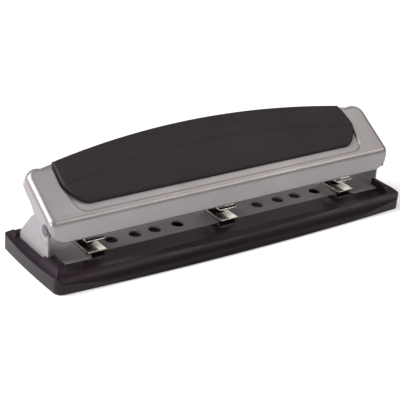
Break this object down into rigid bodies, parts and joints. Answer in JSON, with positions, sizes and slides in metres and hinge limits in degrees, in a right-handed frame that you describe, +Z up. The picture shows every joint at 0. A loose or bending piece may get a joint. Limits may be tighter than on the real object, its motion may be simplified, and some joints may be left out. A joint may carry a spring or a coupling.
{
  "type": "hole_punch",
  "caption": "Long desktop hole punch with a fixed middle head, two sliding heads, a broad sheet-metal lever with a grip pad, and a chip drawer in the base.",
  "frame": {"origin": "middle of the footprint, on the surface that the feet stand on", "axes": "+X along the length to the right, +Y to the rear where the lever rises, +Z up; the paper goes in from -Y"},
  "size_m": [0.298, 0.0808, 0.0762],
  "materials": {
    "black_plastic": "satin moulded",
    "black_rubber": "matte",
    "grip_rubber": "fine matte grain",
    "silver_paint": "silver paint, satin",
    "nickel_sheet": "nickel plated, satin",
    "bright_nickel": "bright nickel",
    "rivet_steel": "turned",
    "steel": "zinc plated"
  },
  "bodies": {
    "base": {"base_plate": "nickel_sheet", "base_shell": "black_plastic", "left_lever_spring": "steel", "left_pivot_rivet": "rivet_steel", "left_pivot_washer": "steel", "middle_clamp_nut": "steel", "middle_clamp_screw": "steel", "middle_head_bracket": "bright_nickel", "middle_pin_spring": "steel", "plate_screws": "steel", "right_lever_spring": "steel", "right_pivot_rivet": "rivet_steel", "right_pivot_washer": "steel", "rubber_feet": "black_rubber"},
    "handle": {"grip_pad": "grip_rubber", "handle_liner": "steel", "handle_shell": "silver_paint", "press_bar": "steel"},
    "left_head": {"left_clamp_nut": "steel", "left_clamp_screw": "steel", "left_head_bracket": "bright_nickel", "left_pin_spring": "steel"},
    "right_head": {"right_clamp_nut": "steel", "right_clamp_screw": "steel", "right_head_bracket": "bright_nickel", "right_pin_spring": "steel"},
    "left_pin": {"left_pin_collar": "steel", "left_punch_pin": "steel"},
    "middle_pin": {"middle_pin_collar": "steel", "middle_punch_pin": "steel"},
    "right_pin": {"right_pin_collar": "steel", "right_punch_pin": "steel"},
    "drawer": {"chip_drawer": "black_plastic"}
  },
  "joints": [
    {"name": "handle_press", "type": "hinge", "parent": "base", "child": "handle", "pos_m": [0, -0.0125, 0.0369], "axis": [-1, 0, 0], "range_deg": [0, 40], "stiffness_Nm_per_rad": 0.5, "springref_deg": -20.05},
    {"name": "left_pin_slide", "type": "slide", "parent": "left_head", "child": "left_pin", "axis": [0, 0, -1], "range_m": [0, 0.00701], "deforming": ["left_pin_spring"]},
    {"name": "middle_pin_slide", "type": "slide", "parent": "base", "child": "middle_pin", "axis": [0, 0, -1], "range_m": [0, 0.00701], "deforming": ["middle_pin_spring"]},
    {"name": "right_pin_slide", "type": "slide", "parent": "right_head", "child": "right_pin", "axis": [0, 0, -1], "range_m": [0, 0.00701], "deforming": ["right_pin_spring"]},
    {"name": "left_head_slide", "type": "slide", "parent": "base", "child": "left_head", "axis": [1, 0, 0], "range_m": [0, 0.073]},
    {"name": "right_head_slide", "type": "slide", "parent": "base", "child": "right_head", "axis": [-1, 0, 0], "range_m": [0, 0.073]},
    {"name": "drawer_slide", "type": "slide", "parent": "base", "child": "drawer", "axis": [0, 1, 0], "range_m": [0, 0.03]}
  ],
  "couplings": [
    {"joint": "left_pin_slide", "follows": "handle_press", "m_per_rad": 0.00998},
    {"joint": "middle_pin_slide", "follows": "handle_press", "m_per_rad": 0.00998},
    {"joint": "right_pin_slide", "follows": "handle_press", "m_per_rad": 0.00998}
  ]
}
